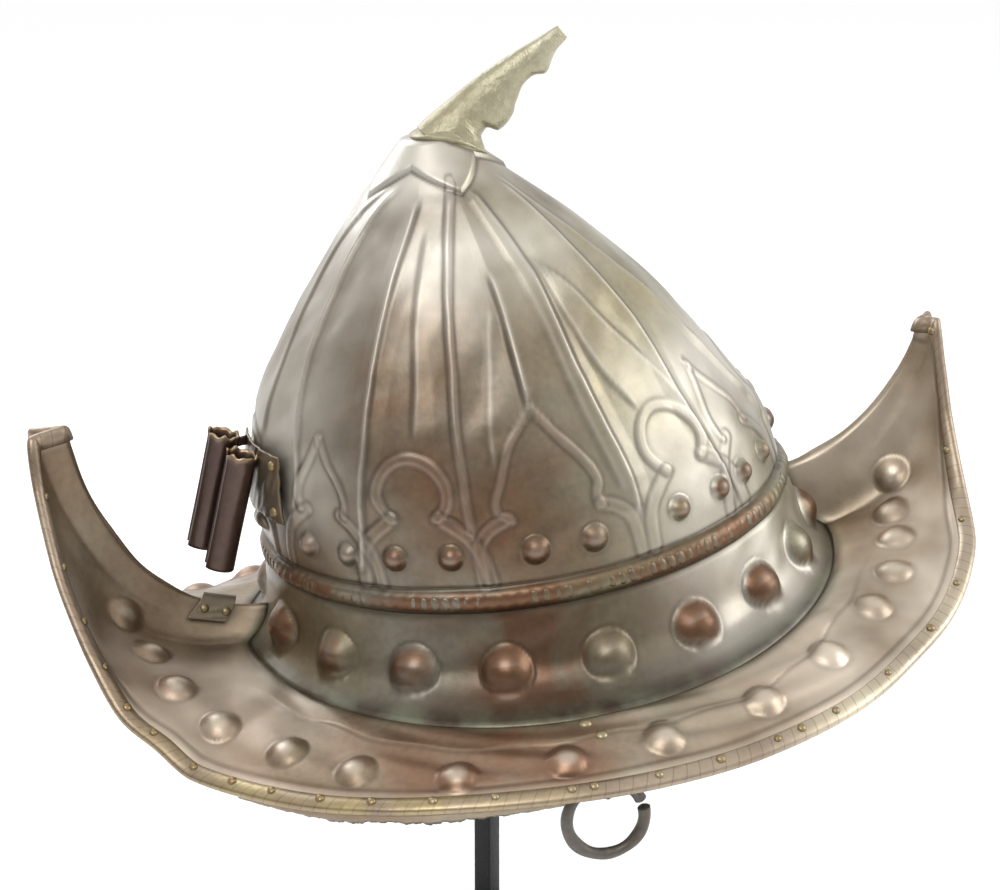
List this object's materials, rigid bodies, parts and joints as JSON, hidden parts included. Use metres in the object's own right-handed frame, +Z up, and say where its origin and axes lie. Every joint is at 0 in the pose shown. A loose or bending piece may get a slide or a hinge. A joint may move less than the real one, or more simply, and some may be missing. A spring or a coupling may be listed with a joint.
{
  "type": "morion helmet on a display stand",
  "caption": "Open helmet with a tall almond skull, a raised boat-shaped brim, embossed petals and bosses, and a broken apex stalk, on a plain post stand.",
  "frame": {"origin": "middle of the stand base's underside, on the axis of the post", "axes": "+Z up, +X towards the helmet's front peak, -Y towards the wearer's right side, where the ring hangs"},
  "size_m": [0.3628, 0.2874, 0.4274],
  "materials": {
    "helmet_bronze": "patinated",
    "edge_brass": "worn",
    "cast_brass": "filed",
    "ring_iron": "dark",
    "stand_black": "gloss"
  },
  "bodies": {
    "root": {"skull": "helmet_bronze", "brim": "helmet_bronze", "brim_binding": "edge_brass", "edge_flap": "helmet_bronze", "apex_stalk": "cast_brass", "plume_holder": "edge_brass", "rear_patch": "helmet_bronze", "ring_staple": "helmet_bronze", "stand_base": "stand_black", "stand_post": "stand_black", "stand_head": "stand_black"},
    "ring": {"hanging_ring": "ring_iron"}
  },
  "joints": [
    {"name": "ring_swing", "type": "hinge", "parent": "root", "child": "ring", "pos_m": [0.01694, -0.13879, 0.18619], "axis": [1, 0, 0], "range_deg": [-60, 60]}
  ]
}
